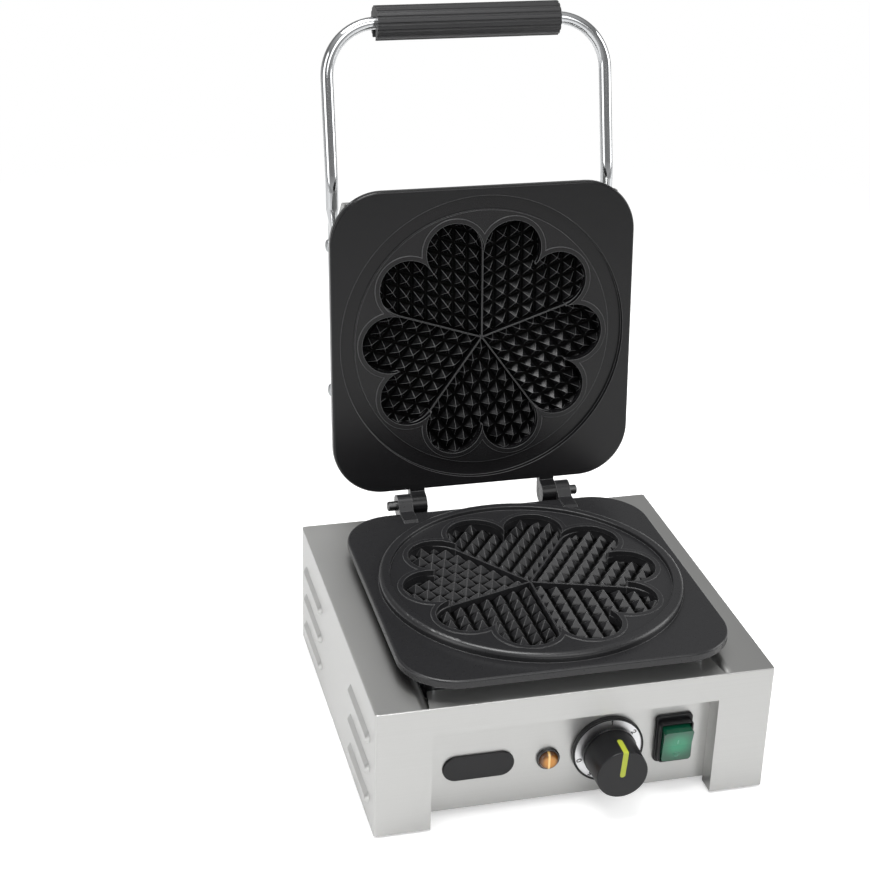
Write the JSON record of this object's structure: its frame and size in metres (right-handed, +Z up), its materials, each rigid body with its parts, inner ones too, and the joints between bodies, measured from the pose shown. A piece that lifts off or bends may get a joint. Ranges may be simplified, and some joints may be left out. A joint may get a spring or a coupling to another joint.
{
  "type": "heart_waffle_maker",
  "caption": "Countertop heart waffle maker with a stainless casing, cast baking plates and a lid that swings up on a long bar handle",
  "frame": {"origin": "bottom centre of the whole part's box with the lid open, on the plane the feet rest on", "axes": "+X is to the right seen from the front, +Y points to the hinge side and +Z is up"},
  "size_m": [0.3052, 0.4, 0.5157],
  "materials": {
    "stainless": "brushed",
    "chrome": "polished",
    "steel": "satin",
    "coated_casting": "satin",
    "element": "matte",
    "insulation": "matte",
    "black_plastic": "satin",
    "lime_plastic": "satin",
    "green_plastic": "gloss",
    "amber_plastic": "gloss",
    "silver_print": "satin",
    "ceramic": "matte",
    "rubber": "matte"
  },
  "bodies": {
    "base": {"casing_shell": "stainless", "control_panel": "stainless", "rear_panel": "stainless", "bottom_plate": "stainless", "rubber_feet": "rubber", "foot_screws": "steel", "rear_screws": "steel", "cross_rails": "steel", "heater_box": "stainless", "lower_insulation": "insulation", "lower_clamp": "steel", "lower_heating_element": "element", "lower_plate": "coated_casting", "hinge_pins": "steel", "dial_bezel": "black_plastic", "dial_scale": "silver_print", "thermostat_body": "steel", "lamp_bezel": "black_plastic", "lamp_lens": "amber_plastic", "lamp_nut": "black_plastic", "switch_housing": "black_plastic", "badge_plate": "black_plastic", "cable_gland": "black_plastic", "terminal_block": "ceramic"},
    "knob": {"knob": "black_plastic", "knob_pointer": "lime_plastic", "thermostat_shaft": "steel"},
    "rocker": {"switch_rocker": "green_plastic"},
    "lid": {"upper_plate": "coated_casting", "upper_cover": "stainless", "upper_heating_element": "element", "upper_clamp": "steel", "upper_insulation": "insulation", "cover_screws": "steel", "handle_bar": "chrome", "handle_grip": "black_plastic", "handle_screws": "steel"}
  },
  "joints": [
    {"name": "lid_hinge", "type": "hinge", "parent": "base", "child": "lid", "pos_m": [0, 0.08549, 0.1262], "axis": [1, 0, 0], "range_deg": [0, 95.7]},
    {"name": "knob_turn", "type": "hinge", "parent": "base", "child": "knob", "pos_m": [0.029, -0.17, 0.0437], "axis": [0, 1, 0], "range_deg": [-111, 209]},
    {"name": "switch_rock", "type": "hinge", "parent": "base", "child": "rocker", "pos_m": [0.08, -0.17051, 0.0465], "axis": [-1, 0, 0], "range_deg": [0, 18]}
  ]
}
